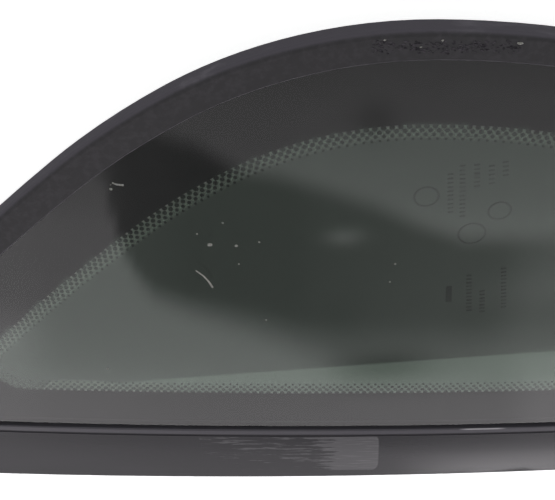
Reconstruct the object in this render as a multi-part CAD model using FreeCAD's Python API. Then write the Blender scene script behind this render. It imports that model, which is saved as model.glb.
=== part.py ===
import FreeCAD, Part

import math
import os

from FreeCAD import Vector

# A fixed quarter window for a vehicle door, in millimetres.
# X runs along the straight bar, Y from the bar to the arch, Z out of the glass.
# Plan sizes start from the arch line, a chain of arcs just outside the clear part of the glass.
# Heights are measured from the outer glass face, which is part of a large ball.

# Bulge and thickness of the pane
SHEET_RADIUS = 2100.0
GLASS_THICKNESS = 3.5
GLASS_ARRIS = 0.5
BORDER_THICKNESS = 0.2

# Arch line: tangent arcs that fall away from the crest to both sides
CREST_X = 34.5
CREST_Y = 39.2
CREST_RADIUS = 85.7
SHOULDER_RADIUS = 160.0
FLANK_RADIUS = 507.5
SHOULDER_ANGLE = 33.4
FLANK_ANGLE = 44.1
FALL_RADIUS = 178.0
END_X = 98.0
END_CORNER_RADIUS = 14.0

# Inner edge of the black border: the arch line, moved out a little and towards the bar
SIGHT_OFFSET = 0.7
SIGHT_DROP = 1.75
SIGHT_FLOOR_Y = -60.2
SIGHT_TIP_RADIUS = 11.5
SIGHT_HEEL_RADIUS = 9.0

# Offsets outwards from the arch line along the arch and the end
LIP_OFFSET = 17.9
GLASS_OFFSET = 19.2
MOULDING_OFFSET = 25.4
MOULDING_SHIFT = -1.0
RETURN_OFFSET = 11.0

# Straight edge of the pane, the open slot and the bar
GLASS_FLOOR_Y = -74.0
GLASS_TIP_RADIUS = 12.0
GLASS_HEEL_RADIUS = 5.0
SLOT_WIDTH = 2.0
BAR_WIDTH = 26.1
BAR_LEAN_ANGLE = 0.7
BAR_TIP_RADIUS = 7.0
BAR_HEEL_RADIUS = 4.0

# Section of the arch moulding
FACE_HEIGHT = 0.6
FACE_ROUND = 1.4
LIP_BEVEL = 0.4
MOULDING_DEPTH = 5.0
BACK_CHAMFER = 0.8

# Section of the trim cover on the bar
TRIM_CROWN = 0.9
TRIM_CROWN_RADIUS = 140.0
TRIM_WALL = 1.5
TRIM_SKIRT_DEPTH = 8.0
TRIM_SLOT_WALL_DEPTH = 2.4
TRIM_ROUND = 1.6
TRIM_LIP_BEVEL = 0.35
TRIM_LIP_WIDTH = 2.1
TRIM_GROOVE_WIDTH = 0.8
TRIM_GROOVE_DEPTH = 0.45

# Moulded rail under the trim
RAIL_GAP = 0.2
RAIL_TOP_DEPTH = 1.4
RAIL_DEPTH = 11.0
RAIL_WALL = 2.0
RAIL_RIB = 1.8
RAIL_RIB_PITCH = 24.0
FLANGE_THICKNESS = 2.5
FLANGE_REACH = 9.0

# Bond between the black border and the flange of the rail
BOND_THICKNESS = 1.0
BOND_INSET = 2.0
BOND_WIDTH = 6.5

# Locating pins on the back of the arch moulding
PIN_RADIUS = 3.0
PIN_LENGTH = 8.0
PIN_POINT = 1.5
PIN_BOSS_RADIUS = 5.0
PIN_BOSS_HEIGHT = 1.2
PIN_OFFSET = 17.5
FLANK_PIN_ANGLE = 47.0
END_PIN_Y = 0.0

# Tools reach this far past what they cut
REACH = 60.0

BAR_TOP_Y = GLASS_FLOOR_Y - SLOT_WIDTH
BAR_FLOOR_Y = BAR_TOP_Y - BAR_WIDTH
BORDER_BACK = GLASS_THICKNESS + BORDER_THICKNESS
BALL_CENTRE = Vector(0, 0, -SHEET_RADIUS)


def fall_direction(degrees):
    """Unit vector from an arc's centre, turned from +Y towards -X."""
    turn = math.radians(degrees)
    return Vector(-math.sin(turn), math.cos(turn), 0)


CREST_CENTRE = Vector(CREST_X, CREST_Y - CREST_RADIUS, 0)
SHOULDER_CENTRE = CREST_CENTRE + fall_direction(SHOULDER_ANGLE) * (CREST_RADIUS - SHOULDER_RADIUS)
FLANK_CENTRE = SHOULDER_CENTRE + fall_direction(FLANK_ANGLE) * (SHOULDER_RADIUS - FLANK_RADIUS)
FALL_CENTRE = Vector(CREST_X, CREST_Y - FALL_RADIUS, 0)


def corner_centre():
    """Centre of the arc between the falling side of the arch and the straight end."""
    x = END_X - END_CORNER_RADIUS
    reach = FALL_RADIUS - END_CORNER_RADIUS
    y = FALL_CENTRE.y + math.sqrt(reach ** 2 - (x - FALL_CENTRE.x) ** 2)
    return Vector(x, y, 0)


def angle_of(centre, point):
    """Angle of a point seen from a centre, in degrees from +Y towards -X."""
    return math.degrees(math.atan2(centre.x - point.x, point.y - centre.y))


def arc_edge(centre, radius, start, end):
    """Arc about a centre between two angles measured from +Y towards -X."""
    ends = [centre + fall_direction(a) * radius for a in (start, (start + end) / 2, end)]
    return Part.Arc(*ends).toShape()


def outline(offset, floor, tip_radius=0.0, heel_radius=0.0, lean=0.0):
    """Closed plan outline: the arch line moved outwards, cut off by a straight floor.

    The tip is where the flank meets the floor, the heel where the end meets it.
    The floor climbs towards the end by the lean, in degrees, about its own middle.
    """
    along = fall_direction(lean - 90)
    down = fall_direction(lean + 180)
    flank_radius = FLANK_RADIUS + offset
    start = Vector(0, floor, 0) - down * tip_radius - FLANK_CENTRE
    reach = flank_radius - tip_radius
    across = start.dot(along)
    tip = FLANK_CENTRE + start - along * (across + math.sqrt(across ** 2 - start.Length ** 2 + reach ** 2))
    tip_angle = angle_of(FLANK_CENTRE, tip)
    corner = corner_centre()
    corner_angle = angle_of(FALL_CENTRE, corner)
    end_x = END_X + offset
    heel = Vector(0, floor, 0) - down * heel_radius
    heel += along * ((end_x - heel_radius - heel.x) / along.x)

    edges = [
        arc_edge(corner, END_CORNER_RADIUS + offset, -90, corner_angle),
        arc_edge(FALL_CENTRE, FALL_RADIUS + offset, corner_angle, 0),
        arc_edge(CREST_CENTRE, CREST_RADIUS + offset, 0, SHOULDER_ANGLE),
        arc_edge(SHOULDER_CENTRE, SHOULDER_RADIUS + offset, SHOULDER_ANGLE, FLANK_ANGLE),
        arc_edge(FLANK_CENTRE, flank_radius, FLANK_ANGLE, tip_angle),
    ]
    if tip_radius > 0:
        edges.append(arc_edge(tip, tip_radius, tip_angle, 180 + lean))
    edges.append(Part.makeLine(tip + down * tip_radius, heel + down * heel_radius))
    if heel_radius > 0:
        edges.append(arc_edge(heel, heel_radius, 180 + lean, 270))
    edges.append(Part.makeLine(Vector(end_x, heel.y, 0), Vector(end_x, corner.y, 0)))
    return Part.Wire(Part.__sortEdges__(edges))


def prism(wire):
    """Upright block through the whole height of the window."""
    low = wire.copy()
    low.translate(Vector(0, 0, -REACH))
    return Part.Face(low).extrude(Vector(0, 0, 2 * REACH))


def band(y_low, y_high):
    """Block between two lines that run along the bar."""
    width = 4 * (END_X + REACH)
    corner = Vector(-width / 2, y_low, -REACH)
    return Part.makeBox(width, y_high - y_low, 2 * REACH, corner)


def sheet_point(y, height):
    """Point in the plane X = 0 at a place across the sheet and a height over it."""
    turn = y / SHEET_RADIUS
    radius = SHEET_RADIUS + height
    return Vector(0, radius * math.sin(turn), radius * math.cos(turn) - SHEET_RADIUS)


def sweep_along_bar(wire):
    """Turn a section in the plane X = 0 about the ball's centre line, both ways along the bar."""
    half_turn = math.degrees((END_X + 2 * REACH) / SHEET_RADIUS)
    section = Part.Face(wire)
    section.rotate(BALL_CENTRE, Vector(0, 1, 0), -half_turn)
    return section.revolve(BALL_CENTRE, Vector(0, 1, 0), 2 * half_turn)


def layer(top, bottom):
    """Slice of the ball's skin between two heights over the outer glass face."""
    reach = CREST_Y - BAR_FLOOR_Y
    high = [sheet_point(y, top) for y in (-reach, 0, reach)]
    low = [sheet_point(y, bottom) for y in (reach, 0, -reach)]
    edges = [
        Part.Arc(*high).toShape(),
        Part.makeLine(high[2], low[0]),
        Part.Arc(*low).toShape(),
        Part.makeLine(low[2], high[0]),
    ]
    return sweep_along_bar(Part.Wire(edges))


def at_height(edge, height):
    """True where a whole edge lies at one height over the outer glass face."""
    low, high = edge.ParameterRange
    points = [edge.valueAt(low + (high - low) * share) for share in (0.1, 0.5, 0.9)]
    return all(abs((p - BALL_CENTRE).Length - SHEET_RADIUS - height) < 0.01 for p in points)


def rim_edges(shape, height):
    """Every edge of a shape that lies at one height over the outer glass face."""
    return [edge for edge in shape.Edges if at_height(edge, height)]


def window_outline(inset):
    """Plan outline of the whole window, moved inwards.

    It is set a little towards the tip, so that the moulding widens along the flank.
    """
    rim = outline(MOULDING_OFFSET - inset, BAR_FLOOR_Y + inset,
                  BAR_TIP_RADIUS - inset, BAR_HEEL_RADIUS - inset, BAR_LEAN_ANGLE)
    rim.translate(Vector(MOULDING_SHIFT, 0, 0))
    return rim


def glass_outline():
    """Plan outline of the cut pane."""
    return outline(GLASS_OFFSET, GLASS_FLOOR_Y, GLASS_TIP_RADIUS, GLASS_HEEL_RADIUS)


def glass_pane():
    """Bulged toughened pane with both arrises of its cut edge ground off."""
    pane = prism(glass_outline()).common(layer(0, -GLASS_THICKNESS))
    arrises = rim_edges(pane, 0) + rim_edges(pane, -GLASS_THICKNESS)
    return pane.makeChamfer(GLASS_ARRIS, arrises)


def is_floor(edge):
    """True for the straight edge beside the slot, the only one that lies along the bar."""
    return all(abs(vertex.Y - GLASS_FLOOR_Y) < 0.01 for vertex in edge.Vertexes)


def border_print():
    """Black border fired onto the inner face, from the cut edge to the clear window."""
    skin = layer(-GLASS_THICKNESS, -BORDER_BACK)
    outer = outline(GLASS_OFFSET - GLASS_ARRIS, GLASS_FLOOR_Y + GLASS_ARRIS,
                    GLASS_TIP_RADIUS - GLASS_ARRIS, GLASS_HEEL_RADIUS - GLASS_ARRIS)
    window = outline(SIGHT_OFFSET, SIGHT_FLOOR_Y + SIGHT_DROP, SIGHT_TIP_RADIUS, SIGHT_HEEL_RADIUS)
    window.translate(Vector(0, -SIGHT_DROP, 0))
    return prism(outer).cut(prism(window)).common(skin)


def locating_pin(place):
    """Upright pin with a boss and a blunt point, rooted in the back of the moulding."""
    drop = SHEET_RADIUS - math.sqrt(SHEET_RADIUS ** 2 - place.x ** 2 - place.y ** 2)
    back = -drop - MOULDING_DEPTH
    root = (MOULDING_DEPTH - BORDER_BACK) / 2
    down = Vector(0, 0, -1)
    boss = Part.makeCylinder(PIN_BOSS_RADIUS, PIN_BOSS_HEIGHT + root,
                             Vector(place.x, place.y, back + root), down)
    straight = PIN_LENGTH - PIN_POINT
    shaft = Part.makeCylinder(PIN_RADIUS, straight + root, Vector(place.x, place.y, back + root), down)
    point = Part.makeCone(PIN_RADIUS, PIN_RADIUS - PIN_POINT / 2, PIN_POINT,
                          Vector(place.x, place.y, back - straight), down)
    return boss.fuse([shaft, point])


def pin_places():
    """Plan places of the locating pins: one on the flank of the arch, one on the straight end."""
    flank = FLANK_CENTRE + fall_direction(FLANK_PIN_ANGLE) * (FLANK_RADIUS + PIN_OFFSET)
    return [flank, Vector(END_X + PIN_OFFSET, END_PIN_Y, 0)]


def lip_outline():
    """Plan outline of the moulding's inner rim, beside the pane's edge, tip and heel."""
    return outline(LIP_OFFSET, GLASS_FLOOR_Y, GLASS_TIP_RADIUS, GLASS_HEEL_RADIUS)


def lip_edges(shape):
    """Edges of a shape's face that lie over the moulding's inner rim."""
    rim = lip_outline()
    found = []
    for edge in rim_edges(shape, FACE_HEIGHT):
        low, high = edge.ParameterRange
        middle = edge.valueAt((low + high) / 2)
        if rim.distToShape(Part.Vertex(middle.x, middle.y, 0))[0] < LIP_BEVEL / 2:
            found.append(edge)
    return found


def slot_block():
    """Upright block of the open slot, as long as the straight edge of the pane."""
    floor = max(glass_outline().Edges, key=is_floor).Vertexes
    x_low, x_high = sorted(vertex.X for vertex in floor)
    corner = Vector(x_low, BAR_TOP_Y - SLOT_WIDTH, -REACH)
    return Part.makeBox(x_high - x_low, 2 * SLOT_WIDTH, 2 * REACH, corner)


def arch_moulding():
    """Rubber moulding that grips the pane round the tip, the arch and the end.

    Its face is rounded off outside and bevelled beside the glass, and its back is open in the middle.
    """
    blank = prism(window_outline(0)).common(layer(FACE_HEIGHT, -MOULDING_DEPTH))
    blank = blank.makeFillet(FACE_ROUND, rim_edges(blank, FACE_HEIGHT))
    blank = blank.makeChamfer(BACK_CHAMFER, rim_edges(blank, -MOULDING_DEPTH))
    blank = blank.common(band(BAR_TOP_Y, BAR_TOP_Y + 2 * SHEET_RADIUS))

    window = prism(lip_outline()).common(layer(REACH / 2, -BORDER_BACK))
    moulding = blank.cut(window)
    moulding = moulding.makeChamfer(LIP_BEVEL, lip_edges(moulding))
    pocket = prism(glass_outline()).common(layer(0, -BORDER_BACK))
    open_slot = slot_block().common(layer(REACH / 2, -BORDER_BACK))
    back_opening = prism(outline(RETURN_OFFSET, BAR_TOP_Y - SLOT_WIDTH))
    back_opening = back_opening.common(layer(0, -2 * MOULDING_DEPTH))
    for tool in (pocket, open_slot, back_opening):
        moulding = moulding.cut(tool)
    return moulding.fuse([locating_pin(place) for place in pin_places()]).removeSplitter()


def trim_arch(depth):
    """Solid under the crowned face of the trim, moved down by a depth."""
    middle = (BAR_TOP_Y + BAR_FLOOR_Y) / 2
    centre = sheet_point(middle, TRIM_CROWN - TRIM_CROWN_RADIUS)
    radius = TRIM_CROWN_RADIUS - depth
    half_angle = math.asin(BAR_WIDTH / TRIM_CROWN_RADIUS)
    lean = -middle / SHEET_RADIUS
    turns = (lean + half_angle, lean, lean - half_angle)
    top = [centre + Vector(0, -math.sin(t), math.cos(t)) * radius for t in turns]
    deep = REACH / 2
    bottom = [Vector(0, p.y, p.z - deep) for p in (top[2], top[0])]
    edges = [
        Part.Arc(*top).toShape(),
        Part.makeLine(top[2], bottom[0]),
        Part.makeLine(bottom[0], bottom[1]),
        Part.makeLine(bottom[1], top[0]),
    ]
    return sweep_along_bar(Part.Wire(edges))


def bar_block(inset):
    """Upright block in the plan shape of the bar, moved inwards on every side."""
    return prism(window_outline(inset)).common(band(BAR_FLOOR_Y - REACH, BAR_TOP_Y - inset))


def on_rim(edge):
    """True where an edge of the trim's blank runs round its crowned face, away from the slot."""
    low, high = edge.ParameterRange
    ends = [edge.valueAt(low), edge.valueAt(high)]
    is_low = min(p.z for p in ends) < -REACH / 4
    beside_slot = all(p.y > BAR_TOP_Y for p in ends)
    return not is_low and not beside_slot


def on_slot_edge(edge):
    """True where an edge of the trim's blank is the long one beside the slot."""
    low, high = edge.ParameterRange
    ends = [edge.valueAt(low), edge.valueAt(high)]
    is_long = abs(ends[0].x - ends[1].x) > BAR_WIDTH
    beside_slot = all(abs(p.y - BAR_TOP_Y) < 0.01 for p in ends)
    return is_long and beside_slot and min(p.z for p in ends) > -REACH / 4


def trim_groove():
    """Tool for the fine groove that sets the lip off from the wide face."""
    near = BAR_TOP_Y - TRIM_LIP_WIDTH
    far = near - TRIM_GROOVE_WIDTH
    face = TRIM_CROWN - (BAR_WIDTH / 2 - TRIM_LIP_WIDTH) ** 2 / (2 * TRIM_CROWN_RADIUS)
    corners = [sheet_point(near, face + TRIM_CROWN), sheet_point(near, face - TRIM_GROOVE_DEPTH / 2),
               sheet_point((near + far) / 2, face - TRIM_GROOVE_DEPTH),
               sheet_point(far, face - TRIM_GROOVE_DEPTH / 4), sheet_point(far, face + TRIM_CROWN)]
    return sweep_along_bar(Part.makePolygon(corners + corners[:1]))


def bar_trim():
    """Cover of the bar: a crowned face with a lip beside the slot, and a skirt all round."""
    near_bar = band(BAR_FLOOR_Y - REACH, BAR_TOP_Y + TRIM_ROUND)
    blank = prism(window_outline(0)).common(near_bar).common(trim_arch(0))
    rim = [edge for edge in blank.Edges if on_rim(edge)]
    blank = blank.makeFillet(TRIM_ROUND, rim)
    blank = blank.common(band(BAR_FLOOR_Y - REACH, BAR_TOP_Y))
    slot_edges = [edge for edge in blank.Edges if on_slot_edge(edge)]
    blank = blank.makeChamfer(TRIM_LIP_BEVEL, slot_edges)
    hollow = bar_block(TRIM_WALL).common(trim_arch(TRIM_WALL))
    under_skirt = layer(-TRIM_SKIRT_DEPTH, -REACH)
    slot_side = band(BAR_TOP_Y - TRIM_WALL - RAIL_GAP, BAR_TOP_Y + REACH)
    slot_wall = slot_side.common(layer(-TRIM_SLOT_WALL_DEPTH, -REACH))
    return blank.cut([trim_groove(), hollow, under_skirt, slot_wall])


def bar_rail():
    """Moulded rail under the trim: an open-backed box with ribs, a foot and a flange for the glass."""
    inset = TRIM_WALL + RAIL_GAP
    foot_top = TRIM_SKIRT_DEPTH + RAIL_GAP
    box = bar_block(inset).common(layer(-RAIL_TOP_DEPTH, -RAIL_DEPTH))
    foot = bar_block(RAIL_GAP).common(layer(-foot_top, -RAIL_DEPTH))
    flange_top = BORDER_BACK + BOND_THICKNESS
    flange = prism(outline(RETURN_OFFSET - RAIL_GAP, BAR_TOP_Y - inset - RAIL_WALL / 2))
    flange = flange.common(band(BAR_TOP_Y - REACH, GLASS_FLOOR_Y + FLANGE_REACH))
    flange = flange.common(layer(-flange_top, -flange_top - FLANGE_THICKNESS))
    hollow = bar_block(inset + RAIL_WALL).common(layer(-RAIL_TOP_DEPTH - RAIL_WALL, -REACH / 2))
    ribs = []
    count = int(END_X // RAIL_RIB_PITCH) + 1
    for index in range(-count, count + 1):
        corner = Vector(index * RAIL_RIB_PITCH - RAIL_RIB / 2, BAR_FLOOR_Y, -REACH)
        ribs.append(Part.makeBox(RAIL_RIB, BAR_WIDTH, 2 * REACH, corner))
    return box.fuse([foot, flange]).cut(hollow.cut(ribs)).removeSplitter()


def glass_bond():
    """Strip of set adhesive that holds the straight edge of the pane on the rail's flange."""
    strip = prism(outline(RETURN_OFFSET - BOND_INSET, GLASS_FLOOR_Y))
    y_high = GLASS_FLOOR_Y + BOND_INSET + BOND_WIDTH
    strip = strip.common(band(y_high - BOND_WIDTH, y_high))
    return strip.common(layer(-BORDER_BACK, -BORDER_BACK - BOND_THICKNESS))


def main():
    """Build every piece, set the window's base centre on the origin and write the files."""
    pieces = {
        "glass_pane": glass_pane(),
        "border_print": border_print(),
        "arch_moulding": arch_moulding(),
        "bar_trim": bar_trim(),
        "bar_rail": bar_rail(),
        "glass_bond": glass_bond(),
    }
    box = Part.makeCompound(list(pieces.values())).optimalBoundingBox(False)
    to_base = Vector(-box.Center.x, -box.Center.y, -box.ZMin)
    os.makedirs("parts", exist_ok=True)
    for name, shape in pieces.items():
        shape.translate(to_base)
        shape.exportStep(os.path.join("parts", name + ".step"))
        print(name, "solids", len(shape.Solids), "volume", round(shape.Volume, 1), "valid", shape.isValid())
    print("moved by", to_base, "size", box.XLength, box.YLength, box.ZLength)
    for place in pin_places():
        print("pin at", place + to_base)


main()
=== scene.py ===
"""Looks of a fixed quarter window: tinted pane, dotted black border, rubber moulding, straight bar trim.

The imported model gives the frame, in metres. Sizes in the classes are millimetres in plan, measured
from the middle of the ball that the bulged pane is part of: x along the bar, y towards the arch.
"""

import logging
import math
import random
from dataclasses import dataclass, field
from enum import Enum
from typing import Any, Iterable, Sequence

import bpy
import numpy as np
from mathutils import Matrix, Vector


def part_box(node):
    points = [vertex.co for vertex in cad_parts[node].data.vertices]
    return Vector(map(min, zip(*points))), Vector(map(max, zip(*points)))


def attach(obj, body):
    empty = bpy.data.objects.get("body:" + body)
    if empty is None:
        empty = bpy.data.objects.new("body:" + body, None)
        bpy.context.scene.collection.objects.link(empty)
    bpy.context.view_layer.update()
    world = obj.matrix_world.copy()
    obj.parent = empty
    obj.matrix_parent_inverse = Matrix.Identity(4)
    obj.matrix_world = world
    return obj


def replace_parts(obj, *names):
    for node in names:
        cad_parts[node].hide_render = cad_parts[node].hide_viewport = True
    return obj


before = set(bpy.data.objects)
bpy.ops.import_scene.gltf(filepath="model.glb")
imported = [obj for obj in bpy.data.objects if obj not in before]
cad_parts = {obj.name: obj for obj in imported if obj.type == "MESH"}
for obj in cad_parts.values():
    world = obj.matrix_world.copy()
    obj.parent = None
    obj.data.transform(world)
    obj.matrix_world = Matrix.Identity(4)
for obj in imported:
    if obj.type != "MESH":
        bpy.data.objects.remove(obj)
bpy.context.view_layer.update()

MM = 0.001
BODY = "root"
WHITE = (1, 1, 1, 1)
log = logging.getLogger("quarter_window")

Plan = tuple[float, float]
Colour = tuple[float, float, float, float]
Tree = bpy.types.NodeTree
Socket = bpy.types.NodeSocket
Material = bpy.types.Material
Mesh = bpy.types.Mesh
Piece = bpy.types.Object


def linear(hex_colour: str) -> Colour:
    """Turn an sRGB hex colour into linear numbers.

    Args:
        hex_colour: colour such as "#a0b0c0".

    Returns:
        Linear red, green, blue and an alpha of 1.
    """
    parts = [int(hex_colour[i:i + 2], 16) / 255 for i in (1, 3, 5)]
    red, green, blue = (c / 12.92 if c <= 0.04045 else ((c + 0.055) / 1.055) ** 2.4 for c in parts)
    return red, green, blue, 1.0


def add(tree: Tree, kind: str, values: dict | None = None, links: dict | None = None,
        **settings: Any) -> bpy.types.Node:
    """Add one node with its settings, socket values and incoming links.

    Args:
        tree: node tree that gets the node.
        kind: node type without the leading "ShaderNode".
        values: socket name or index, and the value it is set to.
        links: socket name or index, and the output socket that feeds it.
        settings: attributes of the node itself.

    Returns:
        The new node.
    """
    node = tree.nodes.new("ShaderNode" + kind)
    for name, value in settings.items():
        setattr(node, name, value)
    for key, value in (values or {}).items():
        node.inputs[key].default_value = value
    for key, source in (links or {}).items():
        tree.links.new(source, node.inputs[key])
    return node


def empty_material(name: str) -> Material:
    """Return a node material with no nodes in it yet."""
    material = bpy.data.materials.new(name)
    material.use_nodes = True
    material.node_tree.nodes.clear()
    return material


def finish_with(tree: Tree, shader: Socket) -> None:
    """Send a shader to the material's surface."""
    add(tree, "OutputMaterial", links={"Surface": shader})


def calc(tree: Tree, operation: str, *terms: Socket | float) -> Socket:
    """Work out one sum.

    Args:
        tree: node tree that gets the node.
        operation: name of the sum.
        terms: its terms in order, each a socket or a number.

    Returns:
        Socket with the result.
    """
    linked = {k: term for k, term in enumerate(terms) if isinstance(term, Socket)}
    fixed = {k: term for k, term in enumerate(terms) if k not in linked}
    return add(tree, "Math", fixed, linked, operation=operation).outputs[0]


def spread(tree: Tree, value: Socket, low: float, high: float, first: float = 0.0, last: float = 1.0,
           **settings: Any) -> Socket:
    """Stretch one span of a value over another.

    Args:
        tree: node tree that gets the node.
        value: socket of the value.
        low: value that gives the first result.
        high: value that gives the last result.
        first: result at the low value.
        last: result at the high value.
        settings: attributes of the node itself.

    Returns:
        Socket with the result, kept between the first and the last unless a setting says otherwise.
    """
    return add(tree, "MapRange", {"From Min": low, "From Max": high, "To Min": first, "To Max": last},
               {"Value": value}, **settings).outputs["Result"]


def noise(tree: Tree, place: Socket, size: float, detail: float, **values: float) -> Socket:
    """Make plain noise.

    Args:
        tree: node tree that gets the node.
        place: coordinates in metres.
        size: width of one blotch in millimetres.
        detail: octaves of finer noise.
        values: other values of the noise.

    Returns:
        Socket with the noise.
    """
    return add(tree, "TexNoise", {"Scale": 1 / (size * MM), "Detail": detail, **values},
               {"Vector": place}).outputs["Fac"]


def spot_noise(tree: Tree, place: Socket, size: float, detail: float, low: float, high: float) -> Socket:
    """Make a soft blotch mask from noise: 0 under the low noise level, 1 over the high one."""
    return spread(tree, noise(tree, place, size, detail), low, high, interpolation_type="SMOOTHSTEP")


def drawn_out(tree: Tree, place: Socket, share: float) -> Socket:
    """Stretch coordinates along the bar, so that what is drawn on them is 1 / share as long."""
    return add(tree, "Mapping", {"Scale": (share, 1.0, 1.0)}, {"Vector": place}).outputs[0]


def bumped(tree: Tree, height: Socket, strength: float, depth: float) -> Socket:
    """Turn a height into a normal.

    Args:
        tree: node tree that gets the node.
        height: socket of the height, from 0 to 1.
        strength: share of the full effect.
        depth: depth of the relief in millimetres.

    Returns:
        Socket with the normal.
    """
    bump = add(tree, "Bump", {"Strength": strength, "Distance": depth * MM}, {"Height": height})
    return bump.outputs["Normal"]


def blend_colours(tree: Tree, mask: Socket, first: Any, second: Any) -> Any:
    """Mix two colours, each a hex text or a socket, by a mask.

    Args:
        tree: node tree that gets the node.
        mask: 0 shows the first colour, 1 the second.
        first: hex colour or colour socket.
        second: hex colour or colour socket.

    Returns:
        Colour socket with the mix.
    """
    values, links = {}, {0: mask}
    for index, colour in ((6, first), (7, second)):
        if isinstance(colour, str):
            values[index] = linear(colour)
        else:
            links[index] = colour
    return add(tree, "Mix", values, links, data_type="RGBA").outputs[2]


def coated(tree: Tree, colour: Socket, roughness: float, sheen: float = 0.5,
           normal: Socket | None = None) -> Socket:
    """Build the shader of a solid surface.

    Args:
        tree: node tree that gets the node.
        colour: colour socket.
        roughness: 0 for a mirror, 1 for chalk.
        sheen: strength of the clear skin's reflection, where 0.5 is usual.
        normal: normal socket, where the surface has relief.

    Returns:
        Shader socket.
    """
    links = {"Base Color": colour}
    if normal is not None:
        links["Normal"] = normal
    values = {"Roughness": roughness, "Specular IOR Level": sheen}
    return add(tree, "BsdfPrincipled", values, links).outputs[0]


def mix_shaders(tree: Tree, share: Socket, first: bpy.types.Node, second: bpy.types.Node) -> bpy.types.Node:
    """Show the first node's shader where the share is 0 and the second's where it is 1."""
    return add(tree, "MixShader", links={0: share, 1: first.outputs[0], 2: second.outputs[0]})


@dataclass(frozen=True)
class Finish:
    """A surface finish: its name, and a shader that each finish builds in its own way."""

    name: str

    def shader(self, tree: Tree, place: Socket) -> Socket:
        """Build the shader from coordinates in metres."""
        raise NotImplementedError

    def make(self) -> Material:
        """Build the material."""
        material = empty_material(self.name)
        tree = material.node_tree
        finish_with(tree, self.shader(tree, add(tree, "TexCoord").outputs["Object"]))
        return material


@dataclass(frozen=True)
class ToughenedGlass(Finish):
    """Body-tinted green-grey soda-lime glass, float polished: mirror-smooth, with a dusty film."""

    name: str = "tinted_toughened_glass"
    tint: str = "#a5bcab"
    lamp_tint: str = "#cfd4d1"
    dust_and_groove_light: str = "#8b8c8a"
    ior: float = 1.52
    roughness: float = 0.012
    dust_share: float = 0.006
    smear_size: float = 26.0

    def shader(self, tree: Tree, place: Socket) -> Socket:
        """Build the glass: refracting to the eye, plain tinted to the lamps, dusty in soft smears.

        Where the enamel is fired on, the inner face has no mirror of its own.
        """
        glass = add(tree, "BsdfPrincipled", {
            "Base Color": linear(self.tint), "Transmission Weight": 1.0, "IOR": self.ior,
            "Roughness": self.roughness})
        film = add(tree, "BsdfDiffuse", {"Color": linear(self.dust_and_groove_light)})
        smears = spot_noise(tree, place, self.smear_size, 4, 0.35, 0.75)
        dusty = mix_shaders(tree, calc(tree, "MULTIPLY", smears, self.dust_share), glass, film)
        printed = add(tree, "Attribute", attribute_name="printed").outputs["Fac"]
        inner = mix_shaders(tree, printed, dusty, add(tree, "BsdfTransparent"))
        clear = add(tree, "BsdfTransparent", {"Color": linear(self.lamp_tint)})
        to_lamp = add(tree, "LightPath").outputs["Is Shadow Ray"]
        return mix_shaders(tree, to_lamp, inner, clear).outputs[0]


@dataclass(frozen=True)
class FiredEnamel(Finish):
    """Black ceramic frit, screen-printed and fired into the glass: flat black, a little brown."""

    name: str = "fired_black_enamel"
    colour: str = "#131214"
    pale: str = "#1b191b"
    roughness: float = 0.55
    sheen_level: float = 0.15
    cloud_size: float = 14.0

    def shader(self, tree: Tree, place: Socket) -> Socket:
        """Build the enamel with faint clouds where the print is thinner."""
        clouds = spot_noise(tree, place, self.cloud_size, 3, 0.4, 0.7)
        colour = blend_colours(tree, clouds, self.colour, self.pale)
        return coated(tree, colour, self.roughness, self.sheen_level)


@dataclass(frozen=True)
class MouldedRubber(Finish):
    """Soft rubber moulded round the pane: matt and mottled, greyer on its side, with a painted highlight
    along its inner rim.

    What faces up between side_slope and face_slope turns from side to face. The inner rim faces the middle
    of the window; its paler colour there is a painted highlight for the shine of its rounded edge.
    """

    name: str = "moulded_rubber"
    face: str = "#222124"
    mottle: str = "#2d2b2f"
    side: str = "#49464e"
    # Paler colour of the inner rim: a painted highlight, not the rubber's own colour.
    lip_highlight: str = "#5c5960"
    chalk: str = "#66636a"
    roughness: float = 0.66
    grain: float = 0.45
    mottle_size: float = 1.6
    lip_highlight_mottle: float = 3.0
    blotch: float = 5.0
    blotch_stretch: float = 0.4
    middle: tuple = (0.02, -0.04, 0.0)
    side_slope: float = 0.5
    face_slope: float = 0.985
    lip_highlight_from: float = -0.01
    lip_highlight_full: float = -0.03
    relief: float = 0.1

    def shader(self, tree: Tree, place: Socket) -> Socket:
        """Build the rubber: its face, side and inner rim differ by the way they face; the rim's paler colour
        is a painted highlight.
        """
        normal = add(tree, "NewGeometry").outputs["Normal"]
        facing = add(tree, "SeparateXYZ", links={0: normal}).outputs["Z"]
        upward = spread(tree, facing, self.side_slope, self.face_slope, interpolation_type="SMOOTHSTEP")
        away = add(tree, "VectorMath", {1: self.middle}, {0: place}, operation="SUBTRACT").outputs[0]
        outward = add(tree, "VectorMath", links={0: away, 1: normal}, operation="DOT_PRODUCT")
        inward = spread(tree, outward.outputs["Value"], self.lip_highlight_from, self.lip_highlight_full)
        mottle = spot_noise(tree, place, self.mottle_size, 4, 0.4, 0.7)
        chalky = spot_noise(tree, drawn_out(tree, place, self.blotch_stretch), self.blotch, 4, 0.55, 0.8)
        pale = spot_noise(tree, place, self.lip_highlight_mottle, 2, 0.35, 0.6)
        # Painted highlight: what faces the middle of the window gets the paler rim colour, standing in for
        # the shine of the rounded edge.
        edges = blend_colours(tree, inward, blend_colours(tree, chalky, self.side, self.chalk),
                              blend_colours(tree, pale, self.side, self.lip_highlight))
        colour = blend_colours(tree, upward, edges, blend_colours(tree, mottle, self.face, self.mottle))
        relief = bumped(tree, noise(tree, place, self.grain, 3), 0.4, self.relief)
        return coated(tree, colour, self.roughness, normal=relief)


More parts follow.
